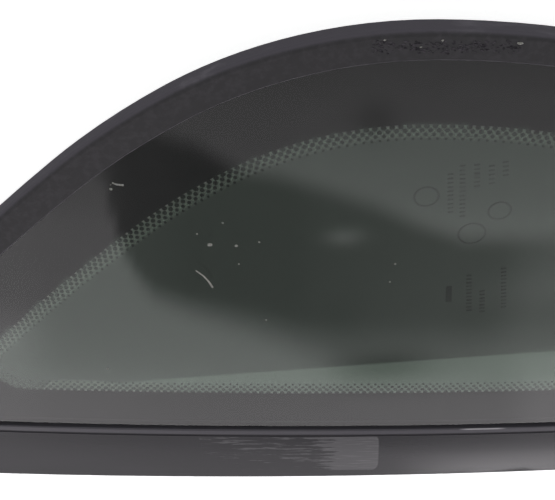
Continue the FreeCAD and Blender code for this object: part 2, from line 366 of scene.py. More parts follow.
@dataclass(frozen=True)
class SatinTrimPlastic(Finish):
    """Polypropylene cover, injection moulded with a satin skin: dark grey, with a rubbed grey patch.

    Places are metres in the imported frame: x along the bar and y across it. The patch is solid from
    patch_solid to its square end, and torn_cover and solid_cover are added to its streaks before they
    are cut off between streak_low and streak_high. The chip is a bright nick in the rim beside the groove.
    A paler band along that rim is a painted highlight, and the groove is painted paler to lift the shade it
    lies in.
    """

    name: str = "satin_polypropylene"
    colour: str = "#1e1d22"
    worn: str = "#252429"
    scuff: str = "#504f52"
    scratch: str = "#636164"
    chip: str = "#b3b1b5"
    # The next two colours are painted light: the groove is paler to lift its shade, and the rim's pale band
    # is a painted highlight.
    dust_and_groove_light: str = "#38363b"
    lip_highlight: str = "#504e54"
    roughness: float = 0.24
    sheen_level: float = 0.25
    grain: float = 0.5
    relief: float = 0.05
    patch_start: float = 0.0034
    patch_solid: float = 0.0372
    patch_end: float = 0.0464
    patch_middle: float = -0.0679
    patch_half: float = 0.0097
    patch_lean: float = 0.7 * MM
    patch_corner: float = 2.0 * MM
    patch_fringe: float = 6.0 * MM
    corner_power: float = 8.0
    streak_size: float = 0.9
    streak_stretch: float = 0.09
    torn_cover: float = -0.075
    solid_cover: float = 0.44
    solid_power: float = 6.0
    lower_loss: float = 0.15
    streak_low: float = 0.47
    streak_high: float = 0.56
    groove_y: float = -0.0589
    groove_half: float = 0.7 * MM
    lip_highlight_y: float = -0.0573
    lip_highlight_half: float = 1.2 * MM
    chip_x: float = 0.0772
    chip_length: float = 0.0075
    chip_y: float = -0.0567
    chip_half: float = 0.25 * MM

    @staticmethod
    def near(tree: Tree, value: Socket, middle: float, half: float, soft: float) -> Socket:
        """Mask of the places where a value lies within a distance of a middle one.

        Args:
            tree: node tree that gets the nodes.
            value: socket of the value.
            middle: middle value.
            half: distance at which the mask has just ended.
            soft: width over which it ends.

        Returns:
            Socket with a mask from 0 to 1.
        """
        distance = calc(tree, "ABSOLUTE", calc(tree, "ADD", value, -middle))
        return spread(tree, distance, half, half - soft)

    def rubbed(self, tree: Tree, place: Socket, x: Socket, y: Socket) -> Socket:
        """Mask of the rubbed patch: solid at its square end, torn into streaks at the other.

        Args:
            tree: node tree that gets the nodes.
            place: coordinates in metres.
            x: place along the bar.
            y: place across the bar.

        Returns:
            Socket with a mask from 0 to 1.
        """
        drawn = drawn_out(tree, place, self.streak_stretch)
        streaks = noise(tree, drawn, self.streak_size, 5, Roughness=0.62)
        along = spread(tree, x, self.patch_start, self.patch_solid)
        across = spread(tree, y, self.patch_middle - self.patch_half, self.patch_middle + self.patch_half,
                        -1.0, clamp=False)
        gained = calc(tree, "MULTIPLY_ADD", calc(tree, "POWER", along, self.solid_power), self.solid_cover,
                      self.torn_cover)
        below = calc(tree, "MINIMUM", across, 0.0)
        torn = calc(tree, "SUBTRACT", 1.0, along)
        left = calc(tree, "MULTIPLY_ADD", calc(tree, "MULTIPLY", below, torn), self.lower_loss, gained)
        cover = spread(tree, calc(tree, "ADD", left, streaks), self.streak_low, self.streak_high,
                       interpolation_type="SMOOTHSTEP")
        corner = calc(tree, "POWER", calc(tree, "ABSOLUTE", across), self.corner_power)
        leaning = calc(tree, "MULTIPLY_ADD", across, self.patch_lean, x)
        rounded = calc(tree, "MULTIPLY_ADD", corner, self.patch_corner, leaning)
        reach = (self.patch_end - self.patch_start) / 2 + self.patch_fringe
        ended = self.near(tree, rounded, self.patch_end - reach, reach, 0.4 * MM)
        sides = self.near(tree, y, self.patch_middle, self.patch_half, 0.5 * MM)
        return calc(tree, "MULTIPLY", calc(tree, "MULTIPLY", cover, ended), sides)

    def shader(self, tree: Tree, place: Socket) -> Socket:
        """Build the plastic with grain, faint cloudy wear, the rubbed patch, a painted highlight along the
        rim and painted light in the groove.
        """
        apart = add(tree, "SeparateXYZ", links={0: place})
        x, y = apart.outputs["X"], apart.outputs["Y"]
        cloudy = spot_noise(tree, drawn_out(tree, place, 0.25), 9.0, 5, 0.45, 0.8)
        lines = spot_noise(tree, drawn_out(tree, place, 0.08), 0.7, 3, 0.5, 0.72)
        chipped = calc(tree, "MULTIPLY", self.near(tree, x, self.chip_x, self.chip_length, 3.0 * MM),
                       self.near(tree, y, self.chip_y, self.chip_half, 0.14 * MM))
        colour = blend_colours(tree, cloudy, self.colour, self.worn)
        colour = blend_colours(tree, self.rubbed(tree, place, x, y), colour,
                               blend_colours(tree, lines, self.scuff, self.scratch))
        # Painted highlight along the rim and painted light in the groove; the chip between them is the
        # plastic's own.
        for mask, paint in ((self.near(tree, y, self.lip_highlight_y, self.lip_highlight_half, 0.3 * MM), self.lip_highlight),
                            (chipped, self.chip),
                            (self.near(tree, y, self.groove_y, self.groove_half, 0.2 * MM), self.dust_and_groove_light)):
            colour = blend_colours(tree, mask, colour, paint)
        relief = bumped(tree, noise(tree, place, self.grain, 2), 0.2, self.relief)
        return coated(tree, colour, self.roughness, self.sheen_level, relief)


@dataclass(frozen=True)
class DriedDeposit(Finish):
    """Chalk, lime or sealant dried onto a surface: dull and grainy, in two tones."""

    colour: str
    shade: str
    grain: float = 0.4

    def shader(self, tree: Tree, place: Socket) -> Socket:
        """Build the deposit with a grain of two tones."""
        grain = spot_noise(tree, place, self.grain, 3, 0.35, 0.65)
        return coated(tree, blend_colours(tree, grain, self.shade, self.colour), 0.9, 0.2)


@dataclass(frozen=True)
class MilkyFilm(Finish):
    """Milky haze dried on the inner face: pale and thin, thicker where its attribute says so."""

    name: str = "milky_haze"
    colour: str = "#ecd9e0"
    cloud_size: float = 1.3

    def shader(self, tree: Tree, place: Socket) -> Socket:
        """Build the film: pale diffuse over clear, shared out by the attribute and fine clouds."""
        cover = add(tree, "Attribute", attribute_name="cover").outputs["Fac"]
        clouds = spread(tree, noise(tree, place, self.cloud_size, 4), 0.3, 0.7, 0.7)
        pale = add(tree, "BsdfDiffuse", {"Color": linear(self.colour)})
        return mix_shaders(tree, calc(tree, "MULTIPLY", cover, clouds), add(tree, "BsdfTransparent"),
                           pale).outputs[0]


@dataclass(frozen=True)
class RailNylon(Finish):
    """Glass-filled nylon, injection moulded: black and matt, with short pale fibres at the skin."""

    name: str = "glass_filled_nylon"
    colour: str = "#202022"
    fibre: str = "#333437"
    roughness: float = 0.58

    def shader(self, tree: Tree, place: Socket) -> Socket:
        """Build the nylon with a fine fibre fleck."""
        fleck = spot_noise(tree, drawn_out(tree, place, 0.3), 0.8, 3, 0.5, 0.75)
        return coated(tree, blend_colours(tree, fleck, self.colour, self.fibre), self.roughness)


@dataclass(frozen=True)
class SetAdhesive(Finish):
    """Polyurethane glass adhesive, gunned on and set: black rubber with a dull skin."""

    name: str = "set_polyurethane"
    colour: str = "#141415"
    pale: str = "#1f1f20"
    roughness: float = 0.5
    wave: float = 5.0

    def shader(self, tree: Tree, place: Socket) -> Socket:
        """Build the adhesive with slow waves from the nozzle."""
        waves = noise(tree, place, self.wave, 2)
        colour = blend_colours(tree, waves, self.colour, self.pale)
        return coated(tree, colour, self.roughness, normal=bumped(tree, waves, 0.4, 0.4))


@dataclass
class Sheet:
    """Ball-shaped skin that the pane and its edging follow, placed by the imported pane."""

    radius: float = 2100.0
    edge_x: float = 117.2
    edge_y: float = -74.0

    def __post_init__(self) -> None:
        """Find the highest point of the skin from the pane's box."""
        low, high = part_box("glass_pane")
        self.apex = Vector((high.x - self.edge_x * MM, low.y - self.edge_y * MM, high.z))

    def points(self, plan: np.ndarray, height: float | np.ndarray) -> np.ndarray:
        """Lift plan points onto the skin.

        Args:
            plan: plan places in millimetres, one row each.
            height: height over the outer glass face in millimetres.

        Returns:
            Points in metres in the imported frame.
        """
        plan = np.asarray(plan, float).reshape(-1, 2)
        up = np.sqrt((self.radius + height) ** 2 - (plan ** 2).sum(1)) - self.radius
        return np.column_stack([plan, up]) * MM + np.array(self.apex)

    def slab(self, plan: np.ndarray, top: float, bottom: float) -> np.ndarray:
        """Lift plan points to two heights: all the upper points, then all the lower ones."""
        return np.concatenate([self.points(plan, top), self.points(plan, bottom)])


@dataclass
class ArchLine:
    """Chain of tangent arcs in plan that every edge of the window is an offset of."""

    crest: Plan = (34.5, 39.2)
    crest_radius: float = 85.7
    shoulder_radius: float = 160.0
    flank_radius: float = 507.5
    shoulder_angle: float = 33.4
    flank_angle: float = 44.1
    fall_radius: float = 178.0
    end_x: float = 98.0
    corner_radius: float = 14.0
    step: float = 0.5

    @staticmethod
    def direction(degrees: float) -> np.ndarray:
        """Unit vector from an arc's centre, turned from +Y towards -X."""
        turn = math.radians(degrees)
        return np.array([-math.sin(turn), math.cos(turn)])

    @staticmethod
    def angle_of(centre: np.ndarray, point: np.ndarray) -> float:
        """Angle of a point seen from a centre, in degrees from +Y towards -X."""
        return math.degrees(math.atan2(centre[0] - point[0], point[1] - centre[1]))

    def arc(self, centre: np.ndarray, radius: float, start: float, end: float) -> np.ndarray:
        """Sample an arc finely.

        Args:
            centre: centre in plan.
            radius: radius in millimetres.
            start: first angle in degrees.
            end: last angle in degrees.

        Returns:
            Points in plan, one row each.
        """
        count = max(3, round(abs(math.radians(end - start)) * radius / self.step))
        return np.array([centre + self.direction(a) * radius for a in np.linspace(start, end, count)])

    def outline(self, offset: float, floor: float, tip_radius: float, heel_radius: float) -> np.ndarray:
        """Closed plan outline, from the middle of the tip's floor over the arch to the heel.

        Args:
            offset: distance outwards from the chain.
            floor: y of the straight edge.
            tip_radius: corner radius where the flank meets the floor.
            heel_radius: corner radius where the end meets the floor.

        Returns:
            Points in plan; the last one joins the first along the floor.
        """
        crest = np.array([self.crest[0], self.crest[1] - self.crest_radius])
        shoulder = crest + self.direction(self.shoulder_angle) * (self.crest_radius - self.shoulder_radius)
        flank = shoulder + self.direction(self.flank_angle) * (self.shoulder_radius - self.flank_radius)
        fall = np.array([self.crest[0], self.crest[1] - self.fall_radius])
        reach = self.fall_radius - self.corner_radius
        corner_x = self.end_x - self.corner_radius
        corner = np.array([corner_x, fall[1] + math.sqrt(reach ** 2 - (corner_x - fall[0]) ** 2)])
        corner_angle = self.angle_of(fall, corner)
        tip_y = floor + tip_radius
        tip_reach = self.flank_radius + offset - tip_radius
        tip = np.array([flank[0] - math.sqrt(tip_reach ** 2 - (tip_y - flank[1]) ** 2), tip_y])
        tip_angle = self.angle_of(flank, tip)
        heel = np.array([self.end_x + offset - heel_radius, floor + heel_radius])
        runs = [
            self.arc(tip, tip_radius, 180, tip_angle),
            self.arc(flank, self.flank_radius + offset, tip_angle, self.flank_angle),
            self.arc(shoulder, self.shoulder_radius + offset, self.flank_angle, self.shoulder_angle),
            self.arc(crest, self.crest_radius + offset, self.shoulder_angle, 0),
            self.arc(fall, self.fall_radius + offset, 0, corner_angle),
            self.arc(corner, self.corner_radius + offset, corner_angle, -90),
            self.arc(heel, heel_radius, -90, -180),
        ]
        points = np.concatenate(runs)
        keep = np.append(True, np.linalg.norm(np.diff(points, axis=0), axis=1) > 1e-6)
        return points[keep]


def sides_of(steps: np.ndarray) -> np.ndarray:
    """Unit directions to the right of a run of steps in plan, one row each."""
    across = np.column_stack([steps[:, 1], -steps[:, 0]])
    return across / np.linalg.norm(across, axis=1)[:, None]


def curve(value: np.ndarray, stations: tuple) -> np.ndarray:
    """Read a curve of straight runs between stations, each a value and its result."""
    places, results = zip(*stations)
    return np.interp(value, places, results)


def circle(sides: int) -> np.ndarray:
    """Points of a circle of radius 1 in plan, one row each."""
    angles = np.linspace(0, 2 * math.pi, sides, endpoint=False)
    return np.column_stack([np.cos(angles), np.sin(angles)])


def grid_faces(rows: int, columns: int, closed: bool = False) -> list:
    """Faces of a grid of cells, row by row.

    Args:
        rows: number of rows of cells.
        columns: cells in each row.
        closed: whether each row joins up with its own start.

    Returns:
        Four point numbers for each cell.
    """
    width = columns if closed else columns + 1
    edges = [(i * width + j, i * width + (j + 1) % width) for i in range(rows) for j in range(columns)]
    return [(a, b, b + width, a + width) for a, b in edges]


def grid_rim(rows: int, columns: int) -> list[int]:
    """Numbers of the grid points round the edge, in order."""
    width = columns + 1
    return ([j for j in range(width)]
            + [i * width + columns for i in range(1, rows + 1)]
            + [rows * width + j for j in range(columns - 1, -1, -1)]
            + [i * width for i in range(rows - 1, 0, -1)])


def underside(faces: list, count: int) -> list:
    """The same faces turned over, on points that come a fixed count later."""
    return [tuple(count + v for v in reversed(face)) for face in faces]


def walls(ring: Sequence[int], count: int) -> list:
    """Faces that drop from a ring of points to the ring that comes a fixed count later."""
    following = list(ring[1:]) + [ring[0]]
    return [(b, a, count + a, count + b) for a, b in zip(ring, following)]


def prism_faces(ring: Sequence[int], count: int) -> list:
    """Faces of a prism under a ring of points."""
    return [tuple(ring)] + underside([tuple(ring)], count) + walls(ring, count)


def set_values(piece: Piece, name: str, values: np.ndarray) -> None:
    """Keep one number for each point of a mesh, for its material to read."""
    attribute = piece.data.attributes.new(name, "FLOAT", "POINT")
    attribute.data.foreach_set("value", values.astype(np.float32))


def link_mesh(name: str, points: Iterable, faces: list, material: Material) -> Piece:
    """Put a mesh with one material into the scene."""
    mesh = bpy.data.meshes.new(name)
    mesh.from_pydata([tuple(p) for p in points], [], faces)
    mesh.materials.append(material)
    piece = bpy.data.objects.new(name, mesh)
    bpy.context.scene.collection.objects.link(piece)
    return piece


def make_piece(name: str, points: np.ndarray, faces: list, material: Material,
               smooth: bool = False) -> Piece:
    """Make a mesh piece that rides on the window and takes its finish from a slot.

    Args:
        name: piece name.
        points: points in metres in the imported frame.
        faces: point numbers of each face.
        material: finish of the piece.
        smooth: whether faces are shaded smooth.

    Returns:
        The new object.
    """
    piece = link_mesh(name, points, faces, material)
    piece.data.validate()
    piece.data.update()
    if smooth:
        piece.data.shade_smooth()
    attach(piece, BODY)
    log.info("made %s with %d faces", name, len(piece.data.polygons))
    return piece


def dress(node: str, material: Material) -> None:
    """Give a CAD node one finish in all its material slots."""
    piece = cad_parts[node]
    if not piece.material_slots:
        piece.data.materials.append(material)
    for slot in piece.material_slots:
        slot.material = material
    log.info("dressed %s in %s", node, material.name)


@dataclass
class TintedPane:
    """The bulged pane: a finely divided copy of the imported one, for clean reflections."""

    sheet: Sheet
    arch: ArchLine
    offset: float = 19.2
    floor: float = -74.6
    tip_radius: float = 12.0
    heel_radius: float = 5.0
    thickness: float = 3.48
    arris: float = 0.5
    sight_offset: float = 0.7
    sight_drop: float = 1.75
    sight_floor: float = -60.2
    sight_tip_radius: float = 11.5
    sight_heel_radius: float = 9.0
    rows: int = 110
    columns: int = 130
    crest_gap: float = 0.02
    sharp_below: float = 0.9
    finish: ToughenedGlass = field(default_factory=ToughenedGlass)

    def spans(self, inset: float) -> np.ndarray:
        """Cut the outline into rows from the floor to the crest.

        Args:
            inset: distance the outline is moved inwards.

        Returns:
            Plan places, rows by columns by two.
        """
        line = self.arch.outline(self.offset - inset, self.floor + inset, self.tip_radius - inset,
                                 self.heel_radius - inset)
        top = int(line[:, 1].argmax())
        left, right = line[:top + 1], line[top:][::-1]
        share = (1 - np.cos(np.linspace(0, math.pi, self.rows + 1))) / 2
        bottom = self.floor + inset
        y = bottom + share * (line[top, 1] - self.crest_gap - bottom)
        x_left = np.interp(y, left[:, 1], left[:, 0])
        x_right = np.interp(y, right[:, 1], right[:, 0])
        across = np.linspace(0, 1, self.columns + 1)
        x = x_left[:, None] + (x_right - x_left)[:, None] * across
        return np.dstack([x, np.repeat(y[:, None], self.columns + 1, axis=1)])

    def build(self) -> Piece:
        """Build both faces, the ground arrises and the edge, as one closed solid."""
        inner = self.spans(self.arris).reshape(-1, 2)
        rim = grid_rim(self.rows, self.columns)
        edge = self.spans(0).reshape(-1, 2)[rim]
        count, size = len(inner), len(rim)
        points = np.concatenate([self.sheet.slab(inner, 0, -self.thickness),
                                 self.sheet.slab(edge, -self.arris, self.arris - self.thickness)])
        top = grid_faces(self.rows, self.columns)
        faces = top + underside(top, count)
        loops = [rim, range(2 * count, 2 * count + size), range(2 * count + size, 2 * count + 2 * size),
                 [count + r for r in rim]]
        for near, far in zip(loops, loops[1:]):
            for k in range(size):
                nxt = (k + 1) % size
                faces.append((near[k], far[k], far[nxt], near[nxt]))
        piece = make_piece("pane_tinted_glass", points, faces, self.finish.make(),
                           smooth=True)
        self.sharpen(piece.data)
        printed = np.zeros(len(piece.data.vertices))
        printed[count:2 * count] = self.border_share(inner)
        set_values(piece, "printed", printed)
        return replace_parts(piece, "glass_pane")

    def border_share(self, plan: np.ndarray) -> np.ndarray:
        """Say which plan points have the border fired on below them.

        Args:
            plan: plan places, one row each.

        Returns:
            1 over the border and 0 over the clear window.
        """
        line = self.arch.outline(self.sight_offset, self.sight_floor + self.sight_drop,
                                 self.sight_tip_radius, self.sight_heel_radius)
        line[:, 1] -= self.sight_drop
        nxt = np.roll(line, -1, axis=0)
        x, y = plan[:, :1], plan[:, 1:]
        crosses = (line[:, 1] > y) != (nxt[:, 1] > y)
        slope = (nxt[:, 0] - line[:, 0]) / np.where(nxt[:, 1] == line[:, 1], 1, nxt[:, 1] - line[:, 1])
        hits = crosses & (x < line[:, 0] + (y - line[:, 1]) * slope)
        return hits.sum(1) % 2 == 0

    def sharpen(self, mesh: Mesh) -> None:
        """Mark edges where the face turns sharply, so that each face shades by itself."""
        normals = [np.array(p.normal) for p in mesh.polygons]
        sides: dict = {}
        for polygon in mesh.polygons:
            for key in polygon.edge_keys:
                sides.setdefault(key, []).append(polygon.index)
        for edge in mesh.edges:
            near = sides[tuple(sorted(edge.vertices))]
            edge.use_edge_sharp = len(near) == 2 and (
                float(normals[near[0]] @ normals[near[1]]) < self.sharp_below)


@dataclass
class DotFade:
    """Rows of enamel dots, smaller from row to row, that fade the border out into the clear glass."""

    sheet: Sheet
    arch: ArchLine
    enamel: Material
    pitch: float = 2.024
    first: float = -137.25
    floor_first: float = -64.3
    floor_pitch: float = 2.01
    offset: float = 0.17
    drop: float = 1.75
    floor: float = -59.75
    tip_radius: float = 11.0
    heel_radius: float = 8.5
    row_step: float = 1.2
    radii: tuple = (0.68, 0.6, 0.5, 0.36)
    top: float = -3.5
    bottom: float = -3.7
    sides: int = 12

    def line(self) -> tuple[np.ndarray, int]:
        """Plan line of the gaps beside the solid border, and the number of its point at the crest."""
        points = self.arch.outline(self.offset, self.floor + self.drop, self.tip_radius, self.heel_radius)
        points[:, 1] -= self.drop
        return points, int(points[:, 1].argmax())

    def stations(self) -> list[tuple[np.ndarray, np.ndarray, float]]:
        """Place every half pitch along the line.

        Returns:
            Plan place, direction into the clear glass, and 0 for a gap or 1 for a dot between gaps.
        """
        points, crest = self.line()
        lengths = np.append(0, np.cumsum(np.linalg.norm(np.diff(points, axis=0), axis=1)))
        lengths -= lengths[crest]
        inward = sides_of(np.gradient(points, axis=0))
        found = []
        for k, s in self.beats(self.first, self.pitch, lengths[0], lengths[-1]):
            place, way = (np.array([np.interp(s, lengths, run[:, axis]) for axis in (0, 1)])
                          for run in (points, inward))
            found.append((place, way / np.linalg.norm(way), k % 2))
        for k, x in self.beats(self.floor_first, self.floor_pitch, points[0, 0], points[-1, 0]):
            found.append((np.array([x, self.floor]), np.array([0.0, 1.0]), k % 2))
        return found

    @staticmethod
    def beats(first: float, pitch: float, low: float, high: float) -> list[tuple[int, float]]:
        """Number and place of every half pitch between two ends, counted from the first dot."""
        half = pitch / 2
        numbers = range(math.ceil((low - first) / half), math.floor((high - first) / half) + 1)
        return [(k, first + k * half) for k in numbers]

    def build(self) -> Piece:
        """Build all the dots as thin closed discs in one piece."""
        ring = circle(self.sides)
        discs = [place + way * self.row_step * row + ring * radius
                 for place, way, between in self.stations()
                 for row, radius in enumerate(self.radii) if (row + between) % 2]
        plan = np.concatenate(discs)
        faces = []
        for start in range(0, len(plan), self.sides):
            faces += prism_faces(range(start, start + self.sides), len(plan))
        points = self.sheet.slab(plan, self.top, self.bottom)
        return make_piece("border_dots", points, faces, self.enamel)


@dataclass
class HazeBand:
    """Milky haze on the inner face: a band along the dots and a wiped smear over the lower ones."""

    sheet: Sheet
    dots: DotFade
    finish: Material
    outer: float = -0.5
    spread: tuple = (0.0, 0.6, 1.2, 1.8, 2.4, 3.0, 3.6, 4.2, 4.8)
    fade: tuple = (1.0, 1.0, 1.0, 1.0, 0.95, 0.8, 0.5, 0.2, 0.0)
    top: float = -3.71
    bottom: float = -3.73
    skip: int = 3
    arch_strength: tuple = ((-45, 0.62), (-25, 0.4), (0, 0.27))
    floor_strength: tuple = ((-46, 0.08), (-41, 1.0))
    smear_strength: float = 0.62
    smear_floor: float = -60.6
    smear_rows: int = 6
    smear_step: float = 0.5
    smear_line: tuple = ((-66.5, -59.6), (-64.1, -55.9), (-61.2, -55.3), (-54.0, -55.1), (-48.2, -55.3),
                         (-45.5, -56.6), (-42.7, -57.9), (-39.7, -56.4), (-35.3, -55.4), (-31.0, -56.2),
                         (-27.3, -59.4), (-26.0, -60.4))

    def strength(self, plan: np.ndarray) -> np.ndarray:
        """Thickness of the haze along the dots: strong by the tip, faint along the floor."""
        return curve(plan[:, 1], self.floor_strength) * curve(plan[:, 0], self.arch_strength)

    def slab(self, name: str, grid: np.ndarray, cover: np.ndarray, closed: bool) -> Piece:
        """Make a thin closed slab from rows of plan points.

        Args:
            name: piece name.
            grid: plan places, rows by columns by two.
            cover: thickness of the haze at each place, rows by columns.
            closed: whether each row joins up with its own start.

        Returns:
            The new object.
        """
        rows, width = grid.shape[:2]
        flat = grid.reshape(-1, 2)
        count = len(flat)
        top = grid_faces(rows - 1, width if closed else width - 1, closed)
        faces = top + underside(top, count)
        if closed:
            rims = [range(width), range(rows * width - 1, (rows - 1) * width - 1, -1)]
        else:
            rims = [grid_rim(rows - 1, width - 1)]
        for rim in rims:
            faces += walls(rim, count)
        points = self.sheet.slab(flat, self.top, self.bottom)
        piece = make_piece(name, points, faces, self.finish)
        set_values(piece, "cover", np.tile(cover.reshape(-1), 2))
        return piece

    def along_dots(self) -> None:
        """Lay the band beside the solid border, all round the clear window."""
        line = self.dots.line()[0][::self.skip]
        inward = sides_of(np.roll(line, -1, axis=0) - np.roll(line, 1, axis=0))
        grid = np.array([line + inward * (self.outer + d) for d in self.spread])
        cover = np.array([self.strength(line) * f for f in self.fade])
        self.slab("haze_band", grid, cover, True)

    def smear(self) -> None:
        """Lay the wiped smear with its wavy upper edge."""
        edge = np.array(self.smear_line)
        x = np.arange(edge[0, 0], edge[-1, 0], self.smear_step)
        top = np.interp(x, edge[:, 0], edge[:, 1])
        grid = np.array([np.column_stack([x, self.smear_floor + (top - self.smear_floor) * share])
                         for share in np.linspace(1, 0, self.smear_rows)])
        cover = np.full(grid.shape[:2], self.smear_strength)
        cover[0] = 0.0
        cover[:, [0, -1]] = 0.0
        self.slab("haze_smear", grid, cover, False)

    def build(self) -> None:
        """Lay both."""
        self.along_dots()
        self.smear()


@dataclass
class BorderMarks:
    """Generic fired marks on the inner face: plain rings and rows of short ticks, no lettering."""

    sheet: Sheet
    enamel: Material
    rings: tuple = ((36.3, 16.3, 3.3), (49.4, 4.0, 3.7), (55.3, 11.6, 3.1))
    rows: tuple = (((41.2, 24.0), (43.1, 10.0)), ((43.8, 26.6), (46.3, 8.6)), ((47.3, 26.9), (48.6, 17.7)),
                   ((50.9, 26.5), (52.1, 19.2)), ((54.1, 27.7), (55.2, 21.2)), ((50.8, -10.4), (53.0, -25.2)),
                   ((55.2, -16.3), (56.7, -26.1)), ((59.6, -7.9), (62.5, -25.0)))
    bar: tuple = ((46.1, -15.0), (46.8, -21.0))
    bar_half_width: float = 0.8
    line_width: float = 0.55
    tick_pitch: float = 1.35
    tick_length: float = 1.45
    top: float = -3.5
    bottom: float = -3.6
    ring_sides: int = 40

    @staticmethod
    def box(start: np.ndarray, end: np.ndarray, half_width: float) -> np.ndarray:
        """Corners in plan of a straight line with some width."""
        way = (end - start) / np.linalg.norm(end - start)
        side = np.array([-way[1], way[0]]) * half_width
        return np.array([start - side, end - side, end + side, start + side])

    def boxes(self) -> list[np.ndarray]:
        """Corners of every tick and of the one plain bar, four each."""
        found = []
        for start, end in np.array(self.rows):
            length = np.linalg.norm(end - start)
            way = (end - start) / length
            half = np.array([-way[1], way[0]]) * self.tick_length / 2
            for k in range(int(length / self.tick_pitch)):
                middle = start + way * self.tick_pitch * (k + 0.5)
                found.append(self.box(middle - half, middle + half, self.line_width / 2))
        return found + [self.box(*np.array(self.bar), self.bar_half_width)]

    def build(self) -> Piece:
        """Build all the marks as thin closed solids in one piece."""
        n = self.ring_sides
        way = circle(n)
        rings = [np.concatenate([(x, y) + way * radius, (x, y) + way * (radius - self.line_width)])
                 for x, y, radius in self.rings]
        flat = np.concatenate(rings + self.boxes())
        count = len(flat)
        faces = []
        for start in range(0, 2 * n * len(rings), 2 * n):
            band = [tuple(start + v for v in face) for face in grid_faces(1, n, closed=True)]
            faces += band + underside(band, count) + walls(range(start, start + n), count)
            faces += walls(range(start + 2 * n - 1, start + n - 1, -1), count)
        for start in range(2 * n * len(rings), count, 4):
            faces += prism_faces(range(start, start + 4), count)
        points = self.sheet.slab(flat, self.top, self.bottom)
        return make_piece("border_marks", points, faces, self.enamel)


class Deposit(Enum):
    """What a loose speck is made of."""

    CHALK = "chalk"
    SOIL = "soil"


@dataclass
class SurfaceWear:
    """Flakes and scratches on the glass, and crumbs of dried sealant on the moulding's face."""

    sheet: Sheet
    chalk: Material
    soil: Material
    flakes: tuple = ((-17.1, 1.5, 0.72), (-10.5, 1.3, 0.52), (-13.8, 9.0, 0.36), (-4.7, 2.7, 0.34),
                     (-20.3, 5.2, 0.3), (-9.8, -5.1, 0.32), (-46.7, -47.8, 0.42), (30.5, -4.8, 0.36),
                     (29.8, -11.4, 0.3), (-2.4, -26.2, 0.26), (-40.8, 19.3, 0.45), (-40.7, 20.6, 0.2))
    scratches: tuple = (((-20.9, -7.6), (-19.0, -9.5), (-17.6, -11.6), (-16.6, -13.9)),
                        ((-40.3, 21.3), (-39.3, 20.8), (-37.6, 20.6)))
    scratch_width: float = 0.55
    scratch_rise: float = 0.03
    thin_end: float = 0.6
    crumb_zone: tuple = (19.0, 52.0, 58.6, 62.3)
    crumb_count: int = 230
    specks: tuple = ((21.5, 62.3, 0.24, 1.6), (34.1, 62.3, 0.26, 1.5), (51.2, 61.6, 0.5, 1.7),
                     (29.5, 60.6, 0.15, 2.5))
    face_height: float = 0.6
    root: float = 0.05
    flake_rise: float = 0.05
    speck_rise: float = 0.2
    cap_share: float = 0.6
    sides: int = 8

    def blob(self, rng: random.Random, x: float, y: float, size: float, height: float, rise: float,
             long: float = 1.0) -> tuple[np.ndarray, list]:
        """Make one low irregular lump.

        Args:
            rng: seeded source of the shape.
            x: plan place.
            y: plan place.
            size: radius in millimetres.
            height: height of its foot over the outer glass face.
            rise: height of the lump itself.
            long: how much longer than wide it is along the bar.

        Returns:
            Points in metres, and faces.
        """
        reach = np.array([size * rng.uniform(0.7, 1.15) for _ in range(self.sides)])
        foot = circle(self.sides) * reach[:, None] * (long, 1.0)
        middle = np.array([x, y])
        points = np.concatenate([self.sheet.points(middle + foot * self.cap_share, height + rise),
                                 self.sheet.points(middle + foot, height - self.root)])
        return points, prism_faces(range(self.sides), self.sides)

    def ribbon(self, line: tuple, height: float) -> tuple[np.ndarray, list]:
        """Make one thin raised line of chalk along a scratch.

        Args:
            line: plan places along the scratch.
            height: height of the surface over the outer glass face.

        Returns:
            Points in metres, and faces.
        """
        path = np.array(line)
        half = sides_of(np.gradient(path, axis=0)) * self.scratch_width / 2
        half *= np.linspace(self.thin_end, 1.0, len(path))[:, None]
        loop = np.concatenate([path + half, (path - half)[::-1]])
        size = len(loop)
        strip = [(k, k + 1, size - 2 - k, size - 1 - k) for k in range(len(path) - 1)]
        points = self.sheet.slab(loop, height + self.scratch_rise, height - self.root)
        return points, strip + underside(strip, size) + walls(range(size), size)

    def gather(self, name: str, lumps: list, kind: Deposit) -> None:
        """Join lumps of one kind into one piece."""
        points, faces, start = [], [], 0
        for lump_points, lump_faces in lumps:
            points.append(lump_points)
            faces += [tuple(start + v for v in face) for face in lump_faces]
            start += len(lump_points)
        finish = self.chalk if kind is Deposit.CHALK else self.soil
        make_piece(name, np.concatenate(points), faces, finish)

    def build(self) -> None:
        """Lay the flakes, the scratches, the crumbs and the pale specks."""
        rng = random.Random(5)
        on_glass = [self.blob(rng, x, y, size, 0.0, self.flake_rise) for x, y, size in self.flakes]
        on_glass += [self.ribbon(line, 0.0) for line in self.scratches]
        self.gather("glass_flakes", on_glass, Deposit.CHALK)
        crumbs = []
        x_low, x_high, y_low, y_high = self.crumb_zone
        for _ in range(self.crumb_count):
            x = rng.uniform(x_low, x_high)
            y = y_low + (y_high - y_low) * rng.betavariate(2.2, 1.6)
            crumbs.append(self.blob(rng, x, y, rng.uniform(0.12, 0.34), self.face_height,
                                    rng.uniform(0.04, 0.14), rng.uniform(1.0, 2.6)))
        self.gather("moulding_crumbs", crumbs, Deposit.SOIL)
        specks = [self.blob(rng, x, y, size, self.face_height, self.speck_rise, long)
                  for x, y, size, long in self.specks]
        self.gather("moulding_specks", specks, Deposit.CHALK)


@dataclass
class EdgeMoulding:
    """Rubber moulding round the arch."""

    finish: MouldedRubber = field(default_factory=MouldedRubber)

    def build(self) -> None:
        """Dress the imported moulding."""
        dress("arch_moulding", self.finish.make())


